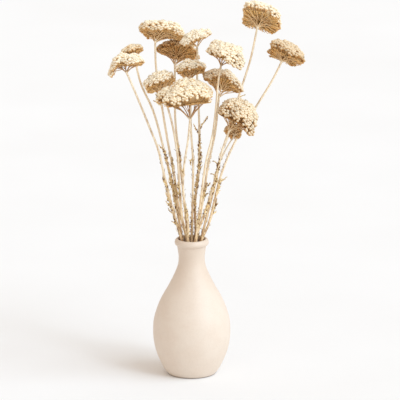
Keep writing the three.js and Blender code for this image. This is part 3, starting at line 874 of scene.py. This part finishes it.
class Head:
    """The smooth shape of a head: a dome with a lobed, waving rim over a cone that points at the fork."""

    def __init__(
        self, fork, centre, lean, heading, width, depth, dome, wave, rays, seed,
        lobes=(), grooves=(), ends=CLUSTER_ENDS, loss=RIM_LOSS,
    ):
        self.wave, self.rays, self.seed = wave, rays, seed
        self.lobes, self.ends, self.loss = lobes, ends, loss
        self.half = np.array([width, depth]) / 2
        self.mean = (width + depth) / 4
        self.centre, self.fork = np.array(centre, float), np.array(fork, float)
        heading = math.radians(heading)
        hinge = Vector((-math.sin(heading), math.cos(heading), 0))
        self.turn = np.array(Matrix.Rotation(math.radians(lean), 3, hinge))
        self.axis = self.turn @ np.array([0.0, 0.0, 1.0])
        self.tip = self.turn.T @ (self.fork - self.centre) * CONE_SHARE
        self.shifts = [value * 2 * math.pi for value in seeded(seed, len(RIM_WAVES) + 1)]
        self.dents = self.scatter_dents()
        self.dents += [(x, y, wide / self.mean, deep) for x, y, wide, deep in grooves]
        self.profile = smooth_section([
            (0, dome),
            (self.mean * 0.35, dome * 0.93),
            (self.mean * 0.7, dome * 0.66),
            (self.mean * 0.92, dome * 0.3),
            (self.mean, -RIM_DEPTH * 0.4),
            (self.mean * RIM_SHARE, -RIM_DEPTH),
        ])
        radii = self.profile[:, 0]
        steps = np.linalg.norm(np.diff(self.profile, axis=0), axis=1)
        self.length = np.concatenate([[0], np.cumsum(steps)])
        self.covered = np.concatenate([[0], np.cumsum(steps * (radii[1:] + radii[:-1]) * math.pi)])

    def scatter_dents(self):
        """Dents and bumps on the dome, as (across, along, width, depth), all but the depth as shares."""
        draw = random.Random(self.seed)
        count = round(self.mean / DENT_SPACING)
        spots = [(math.sqrt(draw.random()), draw.uniform(0, 2 * math.pi)) for _ in range(count)]
        dents = []
        for out, angle in spots:
            x, y = out * math.cos(angle), out * math.sin(angle)
            dents.append((x, y, draw.uniform(*DENT_WIDTH) / self.mean, draw.uniform(*DENT_DEPTH)))
        return dents

    def outline(self, angle):
        """How far out the rim lies, as a share of an even one."""
        out = 1
        for (count, height), shift in zip(RIM_WAVES, self.shifts):
            out = out + height * np.sin(count * angle + shift)
        for middle, width, reach, _ in self.lobes:
            out = out * (1 + reach * nearness(angle, middle, width))
        return out

    def lift(self, angle, share):
        """How high the rim's waves and lobes lift the head."""
        height = self.wave * np.sin(LIFT_WAVES * angle + self.shifts[-1]) * share ** 2
        for middle, width, _, hang in self.lobes:
            height = height - hang * nearness(angle, middle, width) * share ** 4
        return height

    def sunk(self, angle, share):
        """How deep the dents and grooves between the clusters are."""
        x, y = share * np.cos(angle), share * np.sin(angle)
        depth = 0
        for across, along, width, drop in self.dents:
            depth = depth + drop * np.exp(-((x - across) ** 2 + (y - along) ** 2) / width ** 2)
        return depth * (1 - share ** 6)

    def area(self, reach):
        covered = np.interp(reach * self.length[-1], self.length, self.covered)
        return covered * self.half.prod() / self.mean ** 2

    def place(self, along, angle):
        """Points of the dome before it leans."""
        radius, height = (np.interp(along, self.length, self.profile[:, k]) for k in (0, 1))
        share = radius / self.mean
        flat = (share * self.outline(angle))[:, None] * self.half * circle(angle)
        height = height + self.lift(angle, share) - self.sunk(angle, share)
        return np.concatenate([flat, height[:, None]], axis=1)

    def surface(self, along, angle):
        """World points and normals at distances along the section, from the top of the dome."""
        along = np.clip(along, SECTION_MARGIN, self.length[-1] - SECTION_MARGIN)
        outward = self.place(along + NUDGE, angle) - self.place(along - NUDGE, angle)
        around = self.place(along, angle + NUDGE_ANGLE) - self.place(along, angle - NUDGE_ANGLE)
        normals = unit(np.cross(outward, around))
        return self.place(along, angle) @ self.turn.T + self.centre, normals @ self.turn.T

    def scatter(self, spacing, reach, fewest):
        """Places over the dome that keep the spacing: their points, normals, angles and reaches."""
        count = max(fewest, round(self.area(reach) / (CANDIDATE_STEP * spacing) ** 2))
        share = (np.arange(count) + 0.5) / count
        total = np.interp(reach * self.length[-1], self.length, self.covered)
        along = np.interp(share * total, self.covered, self.length)
        angle = np.arange(count) * GOLDEN_ANGLE
        points, normals = self.surface(along, angle)
        kept = []
        free = np.ones(count, bool)
        for i in range(count):
            if free[i]:
                kept.append(i)
                free[i:] &= np.sum((points[i:] - points[i]) ** 2, axis=1) > spacing ** 2
        return points[kept], normals[kept], angle[kept], along[kept] / self.length[-1]

    def under(self, share, angle):
        """World points of the cone under the head, from its tip at 0 to the rim at 1."""
        share, angle = np.broadcast_arrays(np.asarray(share, float), np.asarray(angle, float))
        flat = circle(angle) * (share * RIM_SHARE * self.outline(angle))[..., None] * self.half
        height = self.lift(angle, share * RIM_SHARE) - RIM_DEPTH * share
        local = np.concatenate([flat, height[..., None]], axis=-1) + self.tip * (1 - share)[..., None]
        return local @ self.turn.T + self.centre


# What a head is made of


def floret_shape(draw):
    """One floret, standing on the origin: a rounded cup crowned by a rough button of disc florets.

    Returns its points, triangles and each point's share of the floret's height.
    """
    station, angle, away, faces = rod(FLORET_SIDES, len(FLORET_RINGS))
    radius, height = np.array(FLORET_RINGS)[station].T
    height = height + 0.3 * ((away < 0.5) & (station > 0))
    crown = station >= CROWN_RING
    rough = np.array([draw.uniform(-1, 1) for _ in angle]) * np.where(crown, 0.12, 0.05)
    bumps = np.array([draw.uniform(-0.3, 0.3) for _ in angle]) * crown
    flat = (radius * away * (1 + rough))[:, None] * circle(angle)
    return np.concatenate([flat, (height + bumps)[:, None]], axis=1), faces, height / FLORET_HEIGHT


def facing(axes, draw):
    """Rotation matrices whose last column is each axis, with a random turn about it."""
    turns = np.array([draw.uniform(0, 2 * math.pi) for _ in axes])
    side = crosswise(axes)
    other = np.cross(axes, side)
    first = np.cos(turns)[:, None] * side + np.sin(turns)[:, None] * other
    return np.stack([first, np.cross(axes, first), axes], axis=2)


class Florets:
    """Where a head's florets stand: their feet, their directions, their angles and how far out they are."""

    def __init__(self, head, draw):
        centres = head.scatter(CLUSTER_SPACING, CLUSTER_REACH, 3)[0]
        ends = np.array([draw.uniform(*head.ends) for _ in centres])
        spots, normals, angles, reach = head.scatter(FLORET_SPACING, head.ends[1], 20)
        owner = np.argmin(np.linalg.norm(spots[:, None, :] - centres[None], axis=2), axis=1)
        lost = np.array([draw.random() for _ in spots]) < ramp(reach, LOSS_FROM, LOSS_FULL) * head.loss
        kept = (reach < ends[owner]) & ~lost
        spots, normals, owner = spots[kept], normals[kept], owner[kept]
        away = spots - centres[owner]
        proud = np.array([draw.uniform(*CLUSTER_RISE) for _ in centres])[owner]
        self.angles, self.reach = angles[kept], reach[kept]
        self.jitter = np.array([[draw.gauss(0, 1) for _ in range(4)] for _ in spots])
        self.up = unit(normals * 0.2 + head.axis * 0.6 + unit(spots - head.fork) * 0.25 + away * 0.03)
        drop = np.minimum(np.linalg.norm(away, axis=1) / CLUSTER_RADIUS, 1.2) ** 2 * CLUSTER_DROP
        rise = proud - drop + self.jitter[:, 3] * 0.3
        tops = spots + normals * rise[:, None] + self.jitter[:, :3] * 0.2
        self.feet = tops - self.up * FLORET_HEIGHT


def floret_tints(share, reach, crown_light):
    """Tints from a floret's foot to its crown, with painted shade that deepens them near the rim and painted
    light that makes them paler.
    """
    # Painted shade darkens the feet near the rim; the painted light of the crowns pales them
    rim = ramp(reach, 0.6, 0.85)[:, None] * 0.2
    low = gradient(DEEP, CUP, ramp(share, 0, 0.6)) * (1 - 0.8 * rim[..., None])
    low = low + (CREAM * 0.9 - low) * (crown_light * 0.5 * ramp(reach, 0.85, 0.7))[:, None, None]
    high = gradient(CREAM, BRIGHT, ramp(share + crown_light * 0.25, 0.75, 1))
    crown = ramp(share + crown_light * 0.15 - rim, 0.44, 0.69)[..., None]
    return low + (high - low) * crown


def add_florets(sheaf, draw, florets, tan_and_shade_factor, crown_light):
    """Copies of a few kinds of floret, some of them spent. Returns how much lighter each one's tone is."""
    feet = florets.feet
    kinds = [floret_shape(draw) for _ in range(FLORET_KINDS)]
    kind = np.array([draw.randrange(FLORET_KINDS) for _ in feet])
    size = np.array([draw.uniform(*FLORET_SIZE) for _ in feet])[:, None, None]
    frames = facing(florets.up, draw)
    tone = np.array([draw.gauss(0, 0.05) for _ in feet])[:, None, None]
    spent = np.array([draw.random() < SPENT_SHARE for _ in feet])[:, None, None]
    for k, (shape, faces, share) in enumerate(kinds):
        mine = kind == k
        points = np.einsum("nij,vj->nvi", frames[mine], shape) * size[mine] + feet[mine][:, None, :]
        tints = floret_tints(share, florets.reach[mine], crown_light) * tan_and_shade_factor * (1 + tone[mine])
        sheaf.add(points, faces, tints * np.where(spent[mine], SPENT_TONE, 1.0))
    return tone


def add_core(sheaf, draw, head, tan_and_shade_factor):
    """The closed body between the florets' feet and the cone under them."""
    top = np.linspace(0.0, CORE_REACH, CORE_RINGS // 2)
    station, angle, _, faces = rod(CORE_SIDES, CORE_RINGS)
    above = (station < len(top))[:, None]
    share = np.concatenate([top, top[::-1]])[station]
    spots, normals = head.surface(head.length[-1] * share, angle)
    sunk = FLORET_HEIGHT * (CORE_DEPTH + CORE_RIM_DEPTH * share[:, None] ** 3)
    points = np.where(above, spots - normals * sunk, head.under(share, angle) + head.axis * CORE_LIFT)
    streaks = np.array([draw.uniform(0.75, 1.1) for _ in range(CORE_SIDES)])
    tones = streaks[np.rint(angle / (2 * math.pi) * CORE_SIDES).astype(int) % CORE_SIDES][:, None]
    tints = np.where(above, gradient(CREAM * 0.9, HUSK * 0.6, share ** 2), HUSK * 0.6 * tones)
    # The rod's rings run down here, so its faces are turned
    sheaf.add(points[None], faces[:, ::-1], tints * tan_and_shade_factor)


def add_strands(sheaf, draw, head, tan_and_shade_factor):
    """Stalks that lie on the cone and spread from its middle to the rim."""
    count = round(2 * math.pi * head.mean / STRAND_SPACING)
    bold = np.arange(count) % BOLD_EVERY == 0
    paths = []
    for i in range(count):
        angle = (i + draw.uniform(-0.4, 0.4)) * 2 * math.pi / count
        first = draw.uniform(0.1, 0.3) if bold[i] else draw.uniform(0.3, 0.75)
        sway = draw.gauss(0, 0.06)
        share = np.linspace(first, draw.uniform(0.93, 1.0), STRAND_STATIONS)
        bend = angle + sway * np.sin(np.linspace(0, math.pi, STRAND_STATIONS))
        paths.append(head.under(share, bend) + head.axis * draw.uniform(-0.7, 0.3))
    thick, thin = (np.linspace(*radii, STRAND_STATIONS) for radii in (BOLD_RADII, STRAND_RADII))
    points, faces, _ = tube(paths, np.where(bold[:, None], thick, thin), 4)
    tones = np.array([draw.uniform(0.6, 1.3) for _ in paths])[:, None, None]
    sheaf.add(points, faces, np.where(bold[:, None, None], RAY * 1.1, PEDICEL * tones) * tan_and_shade_factor)


def add_floret_stalks(sheaf, head, florets, tone, tan_and_shade_factor):
    """Stalks from the cone to the feet of the florets near the rim."""
    rim = florets.reach > STALK_REACH
    feet, jitter = florets.feet[rim], florets.jitter[rim]
    start = head.under(0.62 + jitter[:, 1] * 0.05, florets.angles[rim] + jitter[:, 0] * 0.08)
    middle = start + (feet - start) * 0.5 - head.axis
    paths = bezier(start, middle, feet + florets.up[rim] * 0.5, len(STALK_RADII))
    points, faces, share = tube(paths, STALK_RADII, 4)
    sheaf.add(points, faces, gradient(PEDICEL * 0.8, PEDICEL, share) * (1 + tone[rim] * 2) * tan_and_shade_factor)


def build_head(head, name, look):
    draw = random.Random(head.seed)
    sheaf = Sheaf()
    # Painted shade, partly real tan: the head is darker, and its parts underneath are darker still
    tan_and_shade_factor = factor_towards(TANNED_AND_SHADED, TAN_AND_SHADE.get(name, 0))
    florets = Florets(head, draw)
    tone = add_florets(sheaf, draw, florets, tan_and_shade_factor, CROWN_LIGHT.get(name, 0))
    tan_and_shade_factor = tan_and_shade_factor * factor_towards(TANNED_AND_SHADED, UNDER_SHADE.get(name, 0))
    add_core(sheaf, draw, head, tan_and_shade_factor)
    add_strands(sheaf, draw, head, tan_and_shade_factor)
    add_floret_stalks(sheaf, head, florets, tone, tan_and_shade_factor)
    sheaf.piece(name + "_corymb", look, name + "_head")


# Stems


def ring_place(ring, angle):
    return ring * math.cos(math.radians(angle)), ring * math.sin(math.radians(angle))


def stem_way(slot, way, fork):
    """A stem's axis from its foot inside the vase, through its slot in the neck, to its fork."""
    ring, angle = slot
    x, y = ring_place(ring, angle)
    foot = ring_place(ring * FOOT_SPREAD, angle + FOOT_TURN)
    shoulder = ring_place(ring * SHOULDER_SPREAD, angle + FOOT_TURN * SHOULDER_TURN)
    return smooth_way([
        (*foot, FLOOR + FOOT_CLEARANCE),
        (*shoulder, NECK_HEIGHT - SHOULDER_DROP),
        (x, y, NECK_HEIGHT),
        (x * MOUTH_SPREAD, y * MOUTH_SPREAD, VASE_HEIGHT - 4),
        *way,
        fork,
    ], 12)


def way_at(way, height):
    """The point of a stem's axis at a height, and the direction of the axis there."""
    k = int(np.searchsorted(way[:, 2], height))
    share = (height - way[k - 1, 2]) / (way[k, 2] - way[k - 1, 2])
    return way[k - 1] + (way[k] - way[k - 1]) * share, unit(way[k] - way[k - 1])


def stem_radii(way, heights, seed):
    """Radii that taper upwards, swell where a leaf grows, and vary a little."""
    radii = STEM_RADIUS * (1 + (TOP_SHARE - 1) * np.linspace(0, 1, len(way)))
    for height in heights:
        radii = radii * (1 + LEAF_SWELL * np.exp(-((way[:, 2] - height) / SWELL_LENGTH) ** 2))
    grain = np.array([noise.noise(Vector((seed * 9.7, 0, z * 0.05))) for z in way[:, 2]])
    return radii * (1 + 0.05 * grain)


def stem_tints(way, points, share, seed):
    """Straw that has browned towards the mouth, with painted shade on the side turned away from the sun."""
    tones = np.array([noise.noise(Vector((seed * 3.1, 5, k * 0.09))) for k in range(len(way))])
    # A tube's points don't come ring by ring, so this spreads the tones over the stem as a mottle
    mottle = np.concatenate([np.repeat(tones, STEM_SIDES), [0, 0]])[:, None]
    straw = gradient(STRAW, STRAW * 0.95, share) * (1 + 0.16 * mottle)
    nearest = way[np.rint(share * (len(way) - 1)).astype(int)]
    # Painted shade: the side turned away from the sun is darker
    shaded = np.clip(0.5 - unit(points - nearest + 1e-6) @ SUNLIT_SIDE, 0, 1)[:, None]
    browned = ramp(points[:, 2:], BROWN_TO, VASE_HEIGHT)
    return straw * factor_towards(BROWNED_AND_SHADED, np.maximum(browned, shaded * 0.9))


def add_rays(sheaf, draw, head, name, ahead):
    """Rays from the fork to the cone under the head, each with two thinner twigs that leave it."""
    turns = seeded(head.seed + 50, 4 * head.rays)[::4]
    angles = [(i + (turn - 0.5) * 0.35) * 2 * math.pi / head.rays for i, turn in enumerate(turns)]
    reaches = [RAY_REACH * (1.05 if i % 2 == 0 else 0.8) / RIM_SHARE for i in range(head.rays)]
    tips = head.under(reaches, angles) + head.axis
    distance = np.linalg.norm(tips - head.fork, axis=1, keepdims=True)
    roots = np.repeat((head.fork - ahead * RAY_SINK)[None], len(tips), 0)
    controls = head.fork + ahead * distance * 0.08 + (tips - head.fork) * 0.35
    rays = bezier(roots, controls, tips, RAY_STATIONS)
    points, faces, share = tube(rays, np.linspace(*RAY_RADII, RAY_STATIONS), 7)
    colour = gradient(RAY, BROWN_RAY, RAY_DARKENING.get(name, 0))
    sheaf.add(points, faces, gradient(STRAW * 0.85, colour, np.minimum(share * 3, 1)))
    starts, stops = [], []
    for ray, angle, reach in zip(rays, angles, reaches):
        for hand in (-1, 1):
            starts.append(ray[draw.choice((5, 6, 7))])
            turn = hand * draw.uniform(0.35, 0.9) * math.pi / head.rays
            out = min(TWIG_LIMIT, reach + draw.uniform(0, 0.25))
            stops.append(head.under(out, angle + turn) + head.axis * 0.6)
    starts, stops = np.array(starts), np.array(stops)
    twigs = bezier(starts, (starts + stops) / 2 - head.axis * 0.6, stops, TWIG_STATIONS)
    points, faces, _ = tube(twigs, np.linspace(*TWIG_RADII, TWIG_STATIONS), 5)
    sheaf.add(points, faces, colour)


def leaf_way(way, height, turn, rise, curl, length):
    """The rib of a leaf, from the stem's axis, with the directions ahead of it and across it."""
    start, along = way_at(way, height)
    side = np.array([-math.sin(math.radians(turn)), math.cos(math.radians(turn)), 0])
    side = unit(side - along * side.dot(along))
    out = np.cross(side, along)
    lifts = np.radians(rise - curl * np.linspace(0, 1, RIB_STATIONS))
    ahead = np.cos(lifts)[:, None] * out + np.sin(lifts)[:, None] * along
    steps = ahead[:-1] * length / (RIB_STATIONS - 1)
    return start + np.concatenate([[[0, 0, 0]], np.cumsum(steps, axis=0)]), ahead, side


def leaflet_ways(draw, rib, ahead, side, length, width):
    """Short curved leaflets all along a rib, most of them near the plane of the leaf."""
    count = max(6, round(length * LEAFLETS_PER_MM))
    starts, controls, stops = [], [], []
    for i in range(count):
        spot = min(0.04 + 0.96 * (i + draw.random()) / count, 0.99)
        along = spot * (RIB_STATIONS - 1)
        low = int(along)
        base = rib[low] + (rib[low + 1] - rib[low]) * (along - low)
        front = ahead[low]
        around = draw.choice((0, math.pi)) + draw.gauss(0, 0.7)
        hand = side * math.cos(around) + np.cross(front, side) * math.sin(around)
        reach = width * 0.5 * math.sin(math.pi * (0.2 + 0.7 * spot)) * draw.uniform(0.7, 1.3)
        out, on = draw.uniform(0.3, 0.9), draw.uniform(0.5, 1.3)
        starts.append(base)
        controls.append(base + hand * reach * 0.9 + front * reach * 0.2)
        stops.append(base + hand * reach * out + front * reach * on)
    return bezier(starts, controls, stops, len(LEAFLET_RADII))


def thread_ways(draw, leaflets):
    """Two short threads that fork from each leaflet, one to each hand."""
    starts, stops = [], []
    for leaflet in leaflets:
        span = leaflet[-1] - leaflet[0]
        across = np.cross(span, [draw.gauss(0, 1) for _ in range(3)]) * 0.4
        for k, hand in ((2, 1), (3, -1)):
            starts.append(leaflet[k])
            stops.append(leaflet[k] + span * 0.3 + across * hand)
    starts, stops = np.array(starts), np.array(stops)
    return bezier(starts, (starts + stops) / 2, stops, len(THREAD_RADII))


def add_leaf(sheaf, draw, way, height, turn, rise, curl, length, width):
    """A dried feathery leaf: a rib, and short crumpled leaflets all along it that fork into threads."""
    rib, ahead, side = leaf_way(way, height, turn, rise, curl, length)
    shift = Vector((height, 0, 0))
    wobble = np.array([noise.noise_vector(Vector(point) * WOBBLE_RATE + shift) for point in rib])
    rib = rib + wobble * np.linspace(0, WOBBLE, RIB_STATIONS)[:, None]
    colour = LEAF * draw.uniform(0.9, 1.05)
    points, faces, _ = tube(rib[None], np.linspace(*RIB_RADII, RIB_STATIONS), 6, 0.15, 3)
    sheaf.add(points, faces, colour)
    leaflets = leaflet_ways(draw, rib, ahead, side, length, width)
    points, faces, _ = tube(leaflets, LEAFLET_RADII, 4)
    tones = np.array([draw.uniform(0.75, 1.1) for _ in leaflets])[:, None, None]
    # The dark leaflets come three in a row, so that they show as specks
    first = np.array([draw.random() < DARK_SHARE for _ in leaflets])
    dark = (first | np.roll(first, 1) | np.roll(first, 2))[:, None, None]
    sheaf.add(points, faces, np.where(dark, DARK, colour * tones))
    points, faces, _ = tube(thread_ways(draw, leaflets), THREAD_RADII, 3)
    sheaf.add(points, faces, colour)


def add_fringe(sheaf, draw, way):
    """Short curly threads along the lower part of a stem, what is left of its lowest leaves."""
    starts, controls, stops, tints = [], [], [], []
    for _ in range(FRINGE_COUNT):
        base, _ = way_at(way, FRINGE_FROM + (FRINGE_TO - FRINGE_FROM) * draw.random() ** 1.6)
        turn = draw.uniform(0, 2 * math.pi)
        out = np.array([math.cos(turn), math.sin(turn), 0])
        reach = STEM_RADIUS + draw.uniform(0.4, 1) ** 2 * FRINGE_REACH
        starts.append(base + out * STEM_RADIUS * 0.6)
        controls.append(base + out * reach * 1.1 + [0, 0, draw.uniform(0, 2)])
        stops.append(base + out * reach * draw.uniform(0.6, 1.1) + [0, 0, draw.uniform(2, 6)])
        tints.append(draw.choice((DARK, LEAF * 0.6, LEAF * 0.95, LEAF)))
    threads = bezier(starts, controls, stops, FRINGE_STATIONS)
    points, faces, _ = tube(threads, np.linspace(*FRINGE_RADII, FRINGE_STATIONS), 3)
    sheaf.add(points, faces, np.array(tints)[:, None])


def build_yarrow(entry, stalk, floret):
    seed = entry["head"]["seed"]
    draw = random.Random(seed + 200)
    sheaf = Sheaf()
    way = stem_way(entry["slot"], entry["way"], entry["fork"])
    radii = stem_radii(way, [leaf[0] for leaf in entry["leaves"]], seed)
    points, faces, share = tube(way[None], radii, STEM_SIDES, STEM_RIBS)
    sheaf.add(points, faces, stem_tints(way, points[0], share, seed))
    add_fringe(sheaf, draw, way)
    for leaf in entry["leaves"]:
        add_leaf(sheaf, draw, way, *leaf)
    branches = [(entry, unit(way[-1] - way[-3]))]
    if "sprig" in entry:
        sprig = entry["sprig"]
        side = smooth_way([*sprig["way"], sprig["fork"]], 8)
        points, faces, _ = tube(side[None], np.linspace(*SPRIG_RADII, len(side)), 9, 0.06)
        sheaf.add(points, faces, STRAW * 0.88)
        branches.append((sprig, unit(side[-1] - side[-3])))
    for branch, ahead in branches:
        head = Head(branch["fork"], **branch["head"])
        build_head(head, branch["name"], floret)
        add_rays(sheaf, draw, head, branch["name"], ahead)
    sheaf.piece(entry["name"] + "_stalk", stalk, entry["name"] + "_stem")


# Floor, light and camera


def build_stage():
    bm = bmesh.new()
    bmesh.ops.create_grid(bm, x_segments=1, y_segments=1, size=FLOOR_SIZE)
    mesh = bpy.data.meshes.new("floor")
    bm.to_mesh(mesh)
    bm.free()
    floor = bpy.data.objects.new("floor", mesh)
    bpy.context.scene.collection.objects.link(floor)
    look = Look("pale_floor", 0.9, Specular_IOR_Level=0.0)
    mesh.materials.append(look.finish(look.mix(look.noise(3, 2), PALE_FLOOR, DIM_FLOOR)))


def add_sun(name, strength, spread, azimuth, elevation):
    light = bpy.data.lights.new(name, "SUN")
    light.energy = strength
    light.angle = math.radians(spread)
    light.color = SUN_COLOUR
    lamp = bpy.data.objects.new(name, light)
    azimuth, elevation = math.radians(azimuth), math.radians(elevation)
    direction = Vector((
        math.sin(azimuth) * math.cos(elevation),
        -math.cos(azimuth) * math.cos(elevation),
        math.sin(elevation),
    ))
    lamp.location = direction * SUN_DISTANCE
    lamp.rotation_mode = "QUATERNION"
    lamp.rotation_quaternion = direction.to_track_quat("Z", "Y")
    bpy.context.scene.collection.objects.link(lamp)


def build_light():
    world = bpy.data.worlds.new("studio")
    world.use_nodes = True
    world.node_tree.nodes["Background"].inputs["Color"].default_value = WORLD_COLOUR
    world.node_tree.nodes["Background"].inputs["Strength"].default_value = WORLD_STRENGTH
    bpy.context.scene.world = world
    for name, values in SUNS.items():
        add_sun(name, *values)


def build_camera():
    data = bpy.data.cameras.new("camera")
    data.sensor_width = SENSOR_WIDTH
    data.lens = SENSOR_WIDTH * CAMERA_DISTANCE / VIEW_WIDTH
    data.clip_start, data.clip_end = 0.1, 60
    camera = bpy.data.objects.new("camera", data)
    elevation = math.radians(CAMERA_ELEVATION)
    back = Vector((0, -math.cos(elevation), math.sin(elevation)))
    camera.location = Vector(VIEW_CENTRE) + back * CAMERA_DISTANCE
    camera.rotation_mode = "QUATERNION"
    camera.rotation_quaternion = back.to_track_quat("Z", "Y")
    bpy.context.scene.collection.objects.link(camera)
    bpy.context.scene.camera = camera


noise.seed_set(WOBBLE_SEED)
stalk, floret = stalk_look(), floret_look()
build_vase()
for entry in YARROWS:
    build_yarrow(entry, stalk, floret)
build_stage()
build_light()
build_camera()
bpy.context.scene.view_settings.view_transform = "Standard"
bpy.context.view_layer.update()
